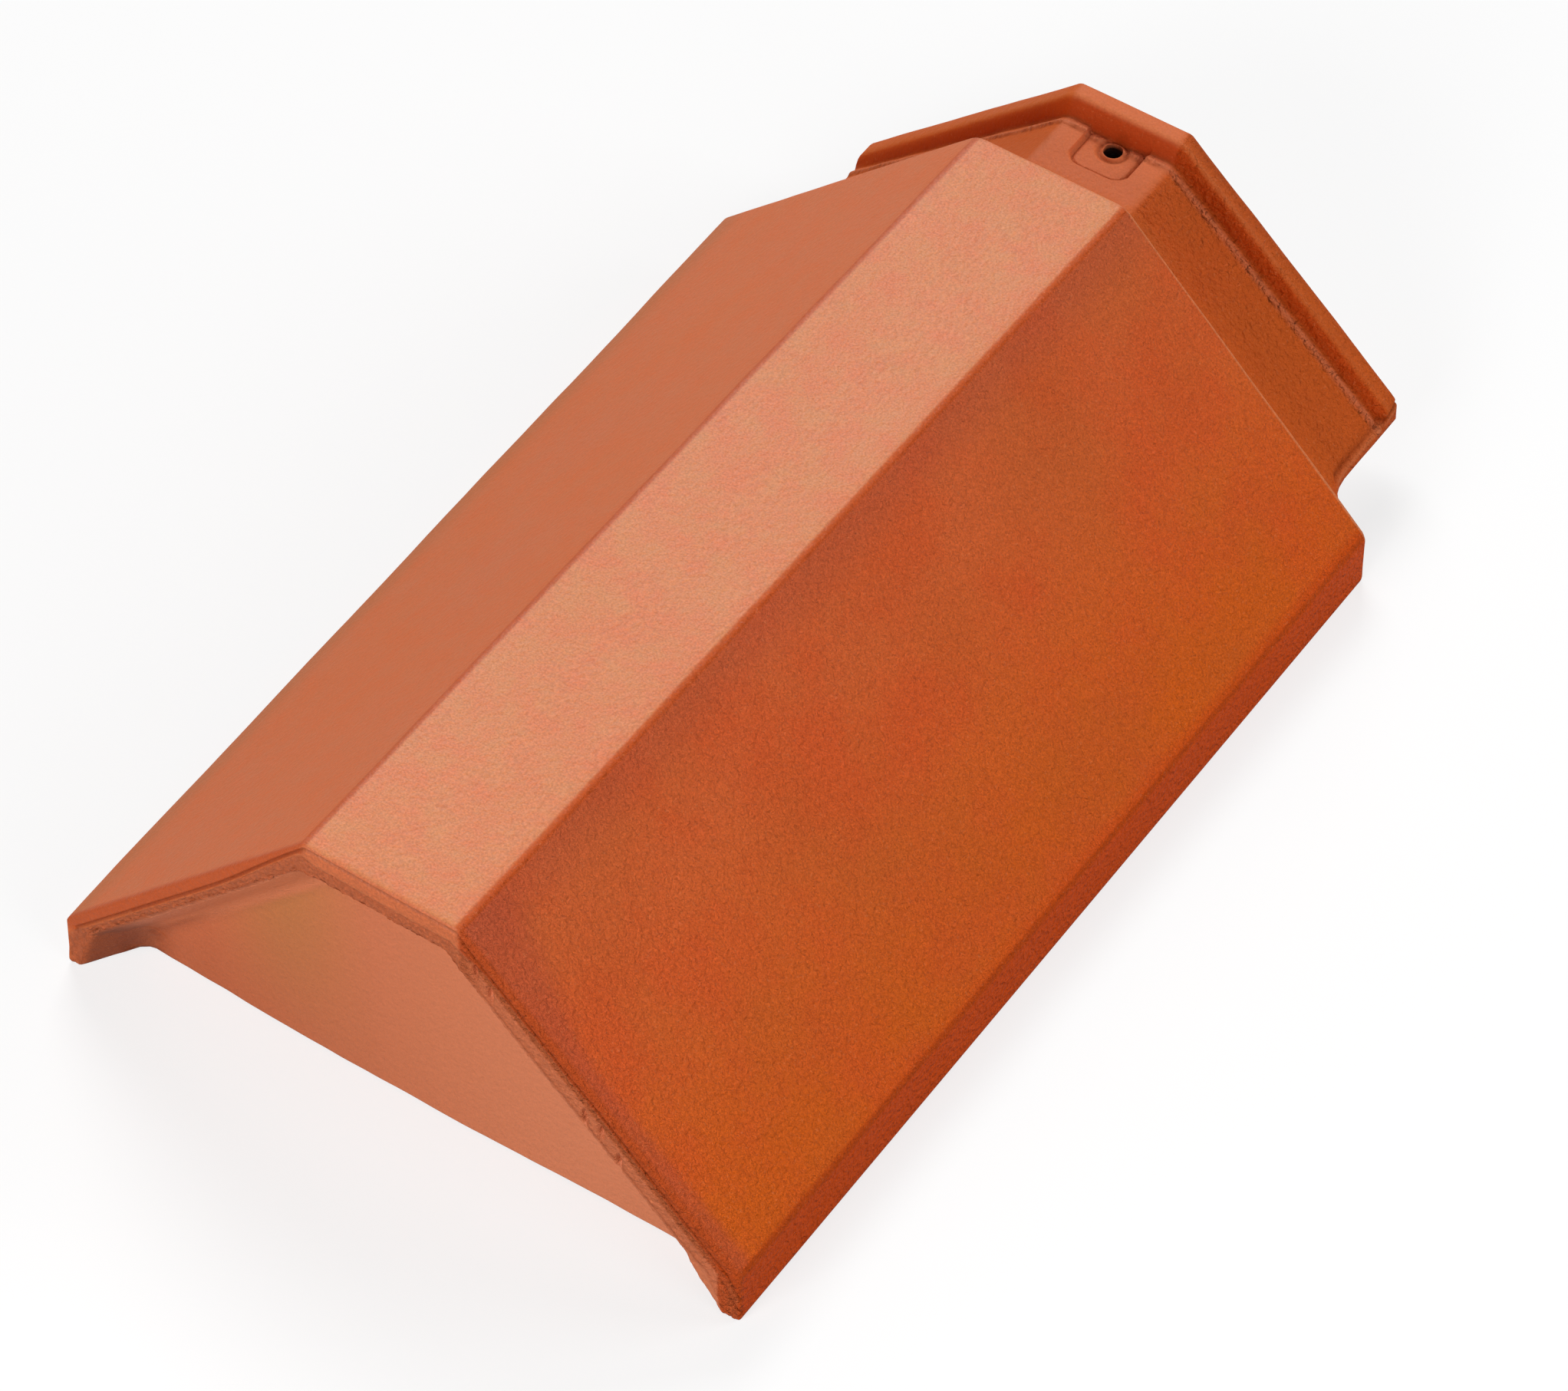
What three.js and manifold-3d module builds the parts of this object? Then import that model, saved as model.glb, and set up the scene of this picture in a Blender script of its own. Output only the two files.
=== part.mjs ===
// Angular clay ridge end tile, pressed and fired in one piece.
//
// The tile covers the last stretch of a roof ridge. In cross-section it is a top flat, two sloping
// panels and two short side flanges that hang down. Its front end is closed by a wall set back from
// the rim of the section. Its other end is the head: a lap, set down by a shoulder, that the next
// tile covers, with a raised rim across the end, a sunk seat for the ridge clip and a screw hole.
//
// Millimetres. X is across the ridge, +Y runs from the closed front end to the head, +Z is up, and
// Z = 0 is the level of the feet of the flanges.

import * as THREE from 'three';
import Module from 'manifold-3d';

const wasm = await Module();
wasm.setup();

// ---------------------------------------------------------------- driving dimensions

const BODY_LENGTH = 350;         // front end to the top edge of the shoulder
const HEAD_LENGTH = 51.5;        // shoulder's top edge to the end of the rim

const WIDTH = 240;               // over the two flanges
const HEIGHT = 112.5;            // feet to top flat
const TOP_FLAT = 54;             // width of the top flat, between the ridge folds
const FLANGE_HEIGHT = 21.5;      // feet to the fold between panel and flange
const WALL = 13.5;               // thickness of the top flat and the panels
const HAUNCH_HEIGHT = 22;        // where the panel's inside turns down into the flange
const FOOT = 6.5;                // thickness of a flange just above its foot

const RIDGE_ROUND = 3;           // outside radius of the ridge folds
const FLANGE_ROUND = 4;          // outside radius of the panel and flange folds
const FOOT_ROUND = 2;            // radius of the edges of the feet
const INNER_ROUND = 8;           // inside radius of the folds
const FRONT_ROUND = 2;           // radius along the front edge of the section

const END_WALL = 13;             // thickness of the closing wall
const END_WALL_SETBACK = 16;     // front edge of the section to the face of the wall
const END_FILLET = 9;            // radius where the wall's back runs into the section
const RECESS_DRAFT = 22;         // how much the recess in front of the wall narrows, in degrees
const RECESS_FILLET = 3.5;       // radius where its sides run into the wall's face

const LAP_DROP = 20.5;           // how far the head's top lies below the body's top
const LAP_FLAT = 39;             // width of the head's top flat
const LAP_SIDE_INSET = 20.5;     // how far the head's sides stand in from the flanges
const LAP_FOLD_HEIGHT = 21;      // feet level to the head's lower folds
const LAP_FOOT_HEIGHT = 17.5;    // feet level to the underside of the head's panels
const LAP_WALL = 12;             // thickness of the head's walls
const LAP_ROUND = 8;             // outside radius of the head's ridge folds

const SHOULDER_ANGLE = 66;       // steepness of the shoulder's face, in degrees
const SHOULDER_EDGE = 1.5;       // radius of the shoulder's top edge
const SHOULDER_FILLET = 14;      // radius of the valley at its foot

const RIM_FLAT = 41;             // width of the rim's top, between the ridge folds
const RIM_RISE = 6.6;            // rim above the head's top flat
const RIM_FOLD_RISE = 4.5;       // rim above the head's lower folds
const RIM_FACE = 2.5;            // length along the tile of the rim's steep inner face
const RIM_TOP = 7;               // length along the tile of the rim's top
const RIM_EDGE = 2.5;            // radius of the rim's outer edge
const RIM_FOLD_ROUND = 10;       // outside radius of the rim's lower folds
const RIM_STEEP = 0.8;           // share of the rim's inner face below its eased upper edge

const SEAT_WIDTH = 21.5;         // clip seat across the tile, at its mouth
const SEAT_LENGTH = 17;          // clip seat from the rim's foot towards the body
const SEAT_DEPTH = 1.8;
const SEAT_ROUND = 5.5;          // plan radius of its two corners
const SEAT_DRAFT = 1.2;          // how far its floor stands in from its mouth
const SCREW_HOLE = 6.3;          // diameter
const SCREW_HOLE_FROM_END = 14;  // hole's axis to the end of the rim
const DIMPLE = 11;               // diameter of the shallow dimple round the hole
const DIMPLE_DEPTH = 0.8;
const DIMPLE_DRAFT = 0.5;        // how far the dimple's floor stands in from its mouth

const CORNER_STEPS = 5;          // facets in each rounded corner of a section
const CURVE_STEPS = 5;           // facets in each rounded edge along the tile
const HOLE_STEPS = 40;           // facets round the screw hole
const CLEAR = 12;                // how far a cutter reaches past the clay

const FRONT = -(BODY_LENGTH + HEAD_LENGTH) / 2;
const SHOULDER = FRONT + BODY_LENGTH;
const END = SHOULDER + HEAD_LENGTH;
const RIM_FOOT = END - RIM_TOP - RIM_FACE;
const WALL_FACE = FRONT + END_WALL_SETBACK;
const WALL_BACK = WALL_FACE + END_WALL;
const LAP_TOP = HEIGHT - LAP_DROP;
const LAP_SIDE = WIDTH / 2 - LAP_SIDE_INSET;

// ---------------------------------------------------------------- sections

// A section is the list of its right-hand corners from the top down. Its left half is the mirror
// image, and level lines close it at the top and the bottom.

const corner = (x, z, round) => ({ x, z, round });

const BODY = [
  corner(TOP_FLAT / 2, HEIGHT, RIDGE_ROUND),
  corner(WIDTH / 2, FLANGE_HEIGHT, FLANGE_ROUND),
  corner(WIDTH / 2, 0, FOOT_ROUND),
];

const LAP = [
  corner(LAP_FLAT / 2, LAP_TOP, LAP_ROUND),
  corner(LAP_SIDE, LAP_FOLD_HEIGHT, FOOT_ROUND),
  corner(LAP_SIDE, LAP_FOOT_HEIGHT, FOOT_ROUND / 2),
];

const RIM = [
  corner(RIM_FLAT / 2, LAP_TOP + RIM_RISE, LAP_ROUND),
  corner(LAP_SIDE, LAP_FOLD_HEIGHT + RIM_FOLD_RISE, RIM_FOLD_ROUND),
  corner(LAP_SIDE, LAP_FOOT_HEIGHT, FOOT_ROUND / 2),
];

// The section part of the way from one section to another.
function between(from, to, share) {
  const mix = (key, i) => THREE.MathUtils.lerp(from[i][key], to[i][key], share);
  return from.map((_, i) => corner(mix('x', i), mix('z', i), mix('round', i)));
}

// The section with every side moved in by one distance.
function inset(section, distance) {
  const top = corner(0, section[0].z, 0);
  const bottom = corner(0, section.at(-1).z, 0);
  const points = [top, ...section, bottom];
  const inward = (a, b) => new THREE.Vector2(b.z - a.z, a.x - b.x).normalize();
  return section.map((here, i) => {
    const before = inward(points[i], here);
    const after = inward(here, points[i + 2]);
    const shift = distance / (1 + before.dot(after));
    const x = here.x + (before.x + after.x) * shift;
    const z = here.z + (before.y + after.y) * shift;
    return corner(x, z, Math.max(here.round - distance, 0));
  });
}

// The hollow under a section: its walls keep one thickness down to the haunch, then the inside
// turns down to a knee just above the foot, and from there it flares out under the clay.
function hollowUnder(section, wall, haunchHeight, kneeX, kneeZ) {
  const [ridge, fold] = inset(section, wall);
  const run = (fold.x - ridge.x) / (ridge.z - fold.z);
  const haunchX = ridge.x + (ridge.z - haunchHeight) * run;
  return [
    corner(ridge.x, ridge.z, INNER_ROUND),
    corner(haunchX, haunchHeight, INNER_ROUND),
    corner(kneeX, kneeZ, FOOT_ROUND),
    corner(kneeX + kneeZ + CLEAR, -CLEAR, 0),
  ];
}

const BODY_HOLLOW = hollowUnder(BODY, WALL, HAUNCH_HEIGHT, WIDTH / 2 - FOOT, FOOT_ROUND);
const LAP_HOLLOW = hollowUnder(LAP, LAP_WALL, LAP_FOLD_HEIGHT, LAP_SIDE - LAP_WALL, LAP_FOOT_HEIGHT);

// ---------------------------------------------------------------- lofted solids

// A section's closed outline at one place along the tile, its corners rounded.
function outlineAt(y, section) {
  const flat = (point) => new THREE.Vector2(point.x, point.z);
  const top = new THREE.Vector2(0, section[0].z);
  const bottom = new THREE.Vector2(0, section.at(-1).z);
  const points = [top, ...section.map(flat), bottom];
  const right = section.flatMap(({ round }, i) => {
    const [before, here, after] = points.slice(i, i + 3);
    const toBefore = before.clone().sub(here);
    const toAfter = after.clone().sub(here);
    const angle = Math.acos(toBefore.dot(toAfter) / toBefore.length() / toAfter.length());
    const reach = round / Math.tan(angle / 2);
    const start = here.clone().add(toBefore.setLength(reach));
    const end = here.clone().add(toAfter.setLength(reach));
    return new THREE.QuadraticBezierCurve(start, here, end).getPoints(CORNER_STEPS);
  });
  const left = right.map((point) => new THREE.Vector2(-point.x, point.y)).reverse();
  return [...right, ...left].map((point) => new THREE.Vector3(point.x, y, point.y));
}

// A manifold solid through loops of points, each loop with the same count, turning right-handed
// about the direction of the loft.
function loft(loops) {
  const count = loops[0].length;
  const centre = (loop) => loop.reduce((sum, point) => sum.add(point), new THREE.Vector3())
    .divideScalar(count);
  const points = [...loops.flat(), centre(loops[0]), centre(loops.at(-1))];
  const startCentre = points.length - 2;
  const endCentre = points.length - 1;
  const endRow = (loops.length - 1) * count;
  const triangles = [];
  for (let i = 0; i < count; i += 1) {
    const next = (i + 1) % count;
    triangles.push(startCentre, next, i, endCentre, endRow + i, endRow + next);
    for (let row = 0; row < endRow; row += count) {
      triangles.push(row + i, row + next, row + count + i);
      triangles.push(row + next, row + count + next, row + count + i);
    }
  }
  return manifoldFrom(points.flatMap((point) => point.toArray()), triangles);
}

function manifoldFrom(positions, triangles) {
  const mesh = new wasm.Mesh({
    numProp: 3,
    vertProperties: new Float32Array(positions),
    triVerts: new Uint32Array(triangles),
  });
  mesh.merge();
  return new wasm.Manifold(mesh);
}

// A quarter turn from one value to another: pairs of the distance still to go along the tile and
// the distance moved in from the side.
function quarterRound(radius) {
  const pairs = [];
  for (let step = 0; step <= CURVE_STEPS; step += 1) {
    const angle = (step / CURVE_STEPS) * Math.PI / 2;
    pairs.push([radius * (1 - Math.sin(angle)), radius * (1 - Math.cos(angle))]);
  }
  return pairs;
}

// ---------------------------------------------------------------- the clay's outer skin

// The shoulder's profile: distance along the tile and drop, from the flat of the body, round the top
// edge, down the straight face and round the valley to the flat of the lap.
function shoulderProfile() {
  const angle = THREE.MathUtils.degToRad(SHOULDER_ANGLE);
  const edgeDrop = SHOULDER_EDGE * (1 - Math.cos(angle));
  const filletDrop = SHOULDER_FILLET * (1 - Math.cos(angle));
  const faceRun = (LAP_DROP - edgeDrop - filletDrop) / Math.tan(angle);
  const length = (SHOULDER_EDGE + SHOULDER_FILLET) * Math.sin(angle) + faceRun;
  const profile = [];
  for (let step = 0; step <= CURVE_STEPS; step += 1) {
    const turn = (step / CURVE_STEPS) * angle;
    profile.push([SHOULDER_EDGE * Math.sin(turn), SHOULDER_EDGE * (1 - Math.cos(turn))]);
  }
  for (let step = CURVE_STEPS; step >= 0; step -= 1) {
    const turn = (step / CURVE_STEPS) * angle;
    const drop = LAP_DROP - SHOULDER_FILLET * (1 - Math.cos(turn));
    profile.push([length - SHOULDER_FILLET * Math.sin(turn), drop]);
  }
  return profile;
}

function makeSkin() {
  const front = quarterRound(FRONT_ROUND).reverse()
    .map(([ahead, moved]) => outlineAt(FRONT + ahead, inset(BODY, moved)));
  const shoulder = shoulderProfile()
    .map(([along, drop]) => outlineAt(SHOULDER + along, between(BODY, LAP, drop / LAP_DROP)));
  const rim = [
    outlineAt(RIM_FOOT, LAP),
    outlineAt(RIM_FOOT + RIM_FACE * RIM_STEEP, between(LAP, RIM, RIM_STEEP)),
    outlineAt(RIM_FOOT + RIM_FACE + RIM_EDGE / 2, RIM),
  ];
  const end = quarterRound(RIM_EDGE)
    .map(([ahead, moved]) => outlineAt(END - ahead, inset(RIM, moved)));
  return loft([...front, ...shoulder, ...rim, ...end]);
}

// ---------------------------------------------------------------- what is cut away

// The recess in front of the closing wall: its drafted sides run round a fillet into the wall.
function makeFrontRecess() {
  const draft = THREE.MathUtils.degToRad(RECESS_DRAFT);
  const filletStart = RECESS_FILLET * (1 - Math.sin(draft));
  const narrowing = (END_WALL_SETBACK - filletStart) * Math.tan(draft);
  const loops = [outlineAt(FRONT - CLEAR, BODY_HOLLOW), outlineAt(FRONT, BODY_HOLLOW)];
  for (let step = 0; step <= CURVE_STEPS; step += 1) {
    const turn = THREE.MathUtils.lerp(draft, Math.PI / 2, step / CURVE_STEPS);
    const toWall = RECESS_FILLET * (1 - Math.sin(turn));
    const moved = narrowing + RECESS_FILLET * (Math.cos(draft) - Math.cos(turn));
    loops.push(outlineAt(WALL_FACE - toWall, inset(BODY_HOLLOW, moved)));
  }
  return loft(loops);
}

// The hollow behind the wall: it follows the body, then steps in under the shoulder to the head.
function makeHollow() {
  const wallSide = quarterRound(END_FILLET).reverse()
    .map(([ahead, moved]) => outlineAt(WALL_BACK + ahead, inset(BODY_HOLLOW, moved)));
  const step = shoulderProfile().map(([along, drop]) => {
    const section = between(BODY_HOLLOW, LAP_HOLLOW, drop / LAP_DROP);
    return outlineAt(SHOULDER - LAP_WALL + along, section);
  });
  return loft([...wallSide, ...step, outlineAt(END + CLEAR, LAP_HOLLOW)]);
}

// The clip seat: a shallow pocket in the head's flat, open to the rim, with drafted sides.
function makeClipSeat() {
  const outline = (margin, z) => {
    const half = SEAT_WIDTH / 2 - margin;
    const near = RIM_FOOT - SEAT_LENGTH + margin;
    const round = SEAT_ROUND - margin;
    const shape = new THREE.Shape();
    shape.moveTo(half, RIM_FOOT);
    shape.lineTo(-half, RIM_FOOT);
    shape.lineTo(-half, near + round);
    shape.absarc(-half + round, near + round, round, Math.PI, Math.PI * 1.5);
    shape.absarc(half - round, near + round, round, Math.PI * 1.5, Math.PI * 2);
    return shape.getPoints(CORNER_STEPS).map((point) => new THREE.Vector3(point.x, point.y, z));
  };
  const slope = SEAT_DRAFT / SEAT_DEPTH;
  const floor = LAP_TOP - SEAT_DEPTH;
  return loft([outline(SEAT_DRAFT, floor), outline(-slope * CLEAR, LAP_TOP + CLEAR)]);
}

// The screw hole through the middle of the seat and the dimple round it.
function makeScrewHole() {
  const floor = LAP_TOP - SEAT_DEPTH;
  const circle = (radius, z) => {
    const points = new THREE.EllipseCurve(0, 0, radius, radius).getPoints(HOLE_STEPS).slice(0, -1);
    return points.map((point) => new THREE.Vector3(point.x, END - SCREW_HOLE_FROM_END + point.y, z));
  };
  const bore = loft([
    circle(SCREW_HOLE / 2, floor - LAP_WALL - CLEAR),
    circle(SCREW_HOLE / 2, floor + CLEAR),
  ]);
  const dimple = loft([
    circle(DIMPLE / 2 - DIMPLE_DRAFT, floor - DIMPLE_DEPTH),
    circle(DIMPLE / 2, floor),
    circle(DIMPLE / 2, floor + SEAT_DEPTH),
  ]);
  return bore.add(dimple);
}

// ---------------------------------------------------------------- the tile

function makeTile() {
  const solid = makeSkin()
    .subtract(makeFrontRecess())
    .subtract(makeHollow())
    .subtract(makeClipSeat())
    .subtract(makeScrewHole());
  const { vertProperties, triVerts } = solid.getMesh();
  const geometry = new THREE.BufferGeometry();
  geometry.setAttribute('position', new THREE.Float32BufferAttribute(vertProperties, 3));
  geometry.setIndex(Array.from(triVerts));
  geometry.computeVertexNormals();
  const clay = new THREE.MeshStandardMaterial({ color: '#c4683c', roughness: 0.55, metalness: 0 });
  const tile = new THREE.Mesh(geometry, clay);
  tile.name = 'ridge_end_tile';
  return tile;
}

const group = new THREE.Group();
group.add(makeTile());

export default group;
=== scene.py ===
# %% [markdown]
# # A clay ridge end tile
#
# The real thing is one piece of pressed and fired clay. It covers the last stretch of a roof
# ridge: a top flat, two sloping panels and two short flanges, closed at its front end by a wall,
# with a lower head at its back end that the next tile laps over. It is dipped in an engobe, a thin
# coat of coloured liquid clay, before it is fired.
#
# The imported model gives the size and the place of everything. This script models the same tile
# again with the marks that pressing, cutting and firing leave, and gives it its finish.

# %% Load the frame
import functools
import math

import bmesh
import bpy
import numpy as np
from mathutils import Matrix, Vector


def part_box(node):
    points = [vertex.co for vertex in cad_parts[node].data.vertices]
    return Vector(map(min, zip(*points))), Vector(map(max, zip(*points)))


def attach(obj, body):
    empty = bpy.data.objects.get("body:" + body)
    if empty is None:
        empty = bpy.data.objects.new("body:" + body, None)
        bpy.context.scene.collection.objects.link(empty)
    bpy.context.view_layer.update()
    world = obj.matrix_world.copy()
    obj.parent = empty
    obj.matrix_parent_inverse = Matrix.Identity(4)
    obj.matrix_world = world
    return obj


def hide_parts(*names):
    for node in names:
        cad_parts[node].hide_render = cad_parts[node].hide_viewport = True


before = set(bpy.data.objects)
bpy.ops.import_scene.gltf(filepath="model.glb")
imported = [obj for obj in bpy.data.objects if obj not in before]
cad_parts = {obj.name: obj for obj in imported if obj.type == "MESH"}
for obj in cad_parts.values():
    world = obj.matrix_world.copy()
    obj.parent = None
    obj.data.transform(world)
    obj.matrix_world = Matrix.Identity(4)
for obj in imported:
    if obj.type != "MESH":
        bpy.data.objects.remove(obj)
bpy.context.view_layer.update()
MM = 0.001
low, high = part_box("ridge_end_tile")
print("tile, in mm:", [round((b - a) / MM, 1) for a, b in zip(low, high)])

# %% [markdown]
# ## The camera
#
# A tile is best looked at from far off through a long lens, so that its edges stay nearly
# parallel. A camera could be aimed with a Track To constraint, but then it couldn't be rolled. Its
# own axes are its right, its up and the way back to the viewer, so its turn is written here as a
# matrix of those three, with a small roll about the line of sight. Lengths are in metres, and the
# lens and its sensor in millimetres, as Blender has them.

# %% The camera
AZIMUTH, ELEVATION, ROLL = (math.radians(angle) for angle in (32.602, 48.243, 1.236))
DISTANCE = 2.3067
LENS, SENSOR_WIDTH = 175.68, 36
AIM = Vector((0.01265, -0.0163, 0.03166))


def view_axes():
    """The camera's right, up and backward directions."""
    flat = math.cos(ELEVATION)
    back = Vector((math.sin(AZIMUTH) * flat, -math.cos(AZIMUTH) * flat, math.sin(ELEVATION)))
    right = Vector((0, 0, 1)).cross(back).normalized()
    up = back.cross(right)
    roll = Matrix.Rotation(ROLL, 3, back)
    return roll @ right, roll @ up, back


right, up, back = view_axes()
camera_data = bpy.data.cameras.new("camera")
camera_data.lens = LENS
camera_data.sensor_width = SENSOR_WIDTH
camera = bpy.data.objects.new("camera", camera_data)
camera.matrix_world = Matrix.Translation(AIM + back * DISTANCE) @ (
    Matrix((right, up, back)).transposed().to_4x4()
)
bpy.context.scene.collection.objects.link(camera)
bpy.context.scene.camera = camera
print("camera stands at", [round(value, 3) for value in camera.matrix_world.translation])

# %% [markdown]
# ## The studio
#
# Four soft lamps stand round a white floor: the main one behind on the left, a weaker one in front
# of the closed end, and two on the right. A floor could be made white with more light, but that
# would bleach the clay too. So the camera sees floor and sky as almost evenly white, with a soft
# shadow, and the clay sees a greyer floor and hardly any sky, so that it keeps its own colour.

# %% One helper for nodes
def add_node(tree, kind, links=(), values=(), **properties):
    """Adds a node. Links are (socket, output) pairs, and values are (socket, value) pairs."""
    node = tree.nodes.new(kind)
    for name, value in properties.items():
        setattr(node, name, value)
    for socket, value in values:
        node.inputs[socket].default_value = value
    for socket, output in links:
        tree.links.new(output, node.inputs[socket])
    return node


# %% The sky
SKY_LIGHT = 0.02
bpy.context.scene.view_settings.view_transform = "Standard"
world = bpy.data.worlds.new("sky")
world.use_nodes = True
bpy.context.scene.world = world
tree = world.node_tree
tree.nodes.clear()
path = add_node(tree, "ShaderNodeLightPath")
seen = add_node(tree, "ShaderNodeMath", operation="MAXIMUM",
                links=[(0, path.outputs["Is Camera Ray"]), (1, path.outputs["Is Glossy Ray"])])
strength = add_node(tree, "ShaderNodeMapRange", links=[("Value", seen.outputs["Value"])],
                    values=[("To Min", SKY_LIGHT), ("To Max", 1.0)])
sky = add_node(tree, "ShaderNodeBackground", links=[("Strength", strength.outputs["Result"])],
               values=[("Color", (1, 1, 1, 1))])
add_node(tree, "ShaderNodeOutputWorld", links=[("Surface", sky.outputs["Background"])])
print("sky: white to the camera,", SKY_LIGHT, "to the clay")

# %% The floor
FLOOR_SIZE = 12
FLOOR_WHITE, FLOOR_GREY, FLOOR_GLOW = 0.94, 0.4, 0.7
bpy.ops.object.select_all(action="DESELECT")
bpy.ops.mesh.primitive_plane_add(size=FLOOR_SIZE)
floor = bpy.context.object
floor.name = "floor"
floor_paint = bpy.data.materials.new("floor_paint")
floor_paint.use_nodes = True
tree = floor_paint.node_tree
tree.nodes.clear()
path = add_node(tree, "ShaderNodeLightPath")
glow = add_node(tree, "ShaderNodeEmission", values=[("Color", (1, 1, 1, 1))])
white = add_node(tree, "ShaderNodeBsdfDiffuse", values=[("Color", (*[FLOOR_WHITE] * 3, 1))])
grey = add_node(tree, "ShaderNodeBsdfDiffuse", values=[("Color", (*[FLOOR_GREY] * 3, 1))])
bright = add_node(tree, "ShaderNodeMixShader", values=[(0, FLOOR_GLOW)],
                  links=[(1, white.outputs[0]), (2, glow.outputs[0])])
paint_mix = add_node(tree, "ShaderNodeMixShader",
                     links=[(0, path.outputs["Is Camera Ray"]), (1, grey.outputs[0]),
                            (2, bright.outputs[0])])
add_node(tree, "ShaderNodeOutputMaterial", links=[("Surface", paint_mix.outputs[0])])
floor.data.materials.append(floor_paint)
print("floor:", FLOOR_SIZE, "m wide")


# %% The lamps
LAMPS = (
    # name, direction from the tile, distance and size in metres, and power in watts
    ("back_left_lamp", (-0.48, 0.55, 0.69), 2.2, 1.2, 33),
    ("back_right_lamp", (0.8, 0.5, 0.5), 1.4, 0.7, 7.7),
    ("front_lamp", (0, -0.9, 0.5), 1.4, 0.7, 12.7),
    ("right_lamp", (0.8, -0.3, 0.48), 1.4, 0.7, 4.5),
)


def add_lamp(name, direction, distance, size, power):
    """A square soft lamp that looks at the tile from a direction."""
    data = bpy.data.lights.new(name, "AREA")
    data.shape = "SQUARE"
    data.size = size
    data.energy = power
    lamp = bpy.data.objects.new(name, data)
    towards = Vector(direction).normalized()
    lamp.location = towards * distance
    lamp.rotation_euler = towards.to_track_quat("Z", "Y").to_euler()
    bpy.context.scene.collection.objects.link(lamp)


for lamp in LAMPS:
    add_lamp(*lamp)

# %% [markdown]
# ## The size of everything
#
# The frame gives the whole tile. The rest are the sizes that a tile maker would set: the folds of
# the section, the wall of clay, the closing wall and the head. Each is given a name here once, so
# that a change to one moves all that hangs on it. All are in metres, written as so many
# millimetres. The tile runs along Y, from its closed front to its head, and stands on Z = 0.

# %% Sizes
WIDTH, LENGTH, HEIGHT = high - low
FRONT, END = low.y, high.y
TOP_FLAT, FLANGE_HEIGHT, WALL, FOOT, HAUNCH = 54 * MM, 21.5 * MM, 13.5 * MM, 6.5 * MM, 22 * MM
WALL_FACE = FRONT + 16 * MM
WALL_BACK = WALL_FACE + 13 * MM
RECESS_NARROWING = 6.5 * MM
SHOULDER = END - 51.5 * MM
SHOULDER_RUN, VALLEY_RUN = 9 * MM, 9 * MM
LAP_TOP, LAP_FLAT, LAP_SIDE = HEIGHT - 20.5 * MM, 39 * MM, WIDTH / 2 - 20.5 * MM
LAP_FOLD, LAP_FOOT, LAP_WALL = 21 * MM, 17.5 * MM, 12 * MM
RIM_FOOT, RIM_TOP = END - 9.5 * MM, END - 7 * MM
RIM_FLAT, RIM_RISE, RIM_FOLD_RISE = 41 * MM, 6.6 * MM, 4.5 * MM
print("body", round((SHOULDER - FRONT) / MM), "mm long, head", round((END - SHOULDER) / MM, 1))

# %% [markdown]
# ## Half a section
#
# In cross-section the tile is a bent strip of clay of nearly one thickness. Three corners on its
# outside set it: the ridge fold, the fold between panel and flange, and the flange's foot. Each
# has a partner on the inside. A Solidify modifier could give such a strip its wall, but the wall
# here thins out towards the foot and steps down at the head, so both skins get corners of their
# own. Only the right half is modelled, because a mirror makes the left.

# %% Corners moved in from the outside
CENTRE, RIDGE, FOLD, FEET = range(4)
INSIDE = 4    # added to an outer corner, it gives the corner's partner on the inside


def moved_in(corners, distance):
    """The corners of a section with each of its sides moved in by one distance."""
    points = [(0, corners[0][1]), *corners, (0, corners[-1][1])]
    points = [Vector(point) for point in points]
    moved = []
    for before, here, after in zip(points, points[1:], points[2:]):
        sides = [(here - before).normalized(), (after - here).normalized()]
        ways = [Vector((side.y, -side.x)) for side in sides]
        moved.append(here + (ways[0] + ways[1]) * distance / (1 + ways[0].dot(ways[1])))
    return moved


def inside_of(outside, wall, haunch_height, foot):
    """The inner corners: one wall thickness in, then out to a thinner foot below the haunch."""
    ridge, fold, _ = moved_in(outside, wall)
    share = (ridge.y - haunch_height) / (ridge.y - fold.y)
    return [ridge, ridge.lerp(fold, share), Vector((outside[2][0] - foot, outside[2][1]))]


def narrowed(inside, distance):
    """The inner corners moved in by a distance, with the foot kept at its level."""
    ridge, haunch, foot = inside
    ridge, haunch, beyond = moved_in([ridge, haunch, foot + (foot - haunch)], distance)
    share = (haunch.y - foot.y) / (haunch.y - beyond.y)
    return [ridge, haunch, haunch.lerp(beyond, share)]


# %% Sections of the body, the lap and the rim
BODY = [(TOP_FLAT / 2, HEIGHT), (WIDTH / 2, FLANGE_HEIGHT), (WIDTH / 2, 0)]
LAP = [(LAP_FLAT / 2, LAP_TOP), (LAP_SIDE, LAP_FOLD), (LAP_SIDE, LAP_FOOT)]
RIM = [(RIM_FLAT / 2, LAP_TOP + RIM_RISE), (LAP_SIDE, LAP_FOLD + RIM_FOLD_RISE), LAP[2]]
BODY_INSIDE = inside_of(BODY, WALL, HAUNCH, FOOT)
LAP_INSIDE = inside_of(LAP, LAP_WALL, LAP_FOLD, LAP_WALL)
RECESS = narrowed(BODY_INSIDE, RECESS_NARROWING)
print("inner ridge at", [round(value / MM, 1) for value in BODY_INSIDE[0]])


# %% [markdown]
# ## The stations along the tile
#
# The strip is drawn out along the ridge from station to station, as clay leaves an extruder. At
# each station the outside and the inside have their own corners, and under the shoulder the inside
# steps down one wall thickness earlier than the outside. A curve with a bevel object would keep
# one section all the way, so the strip is extruded face by face instead.

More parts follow.
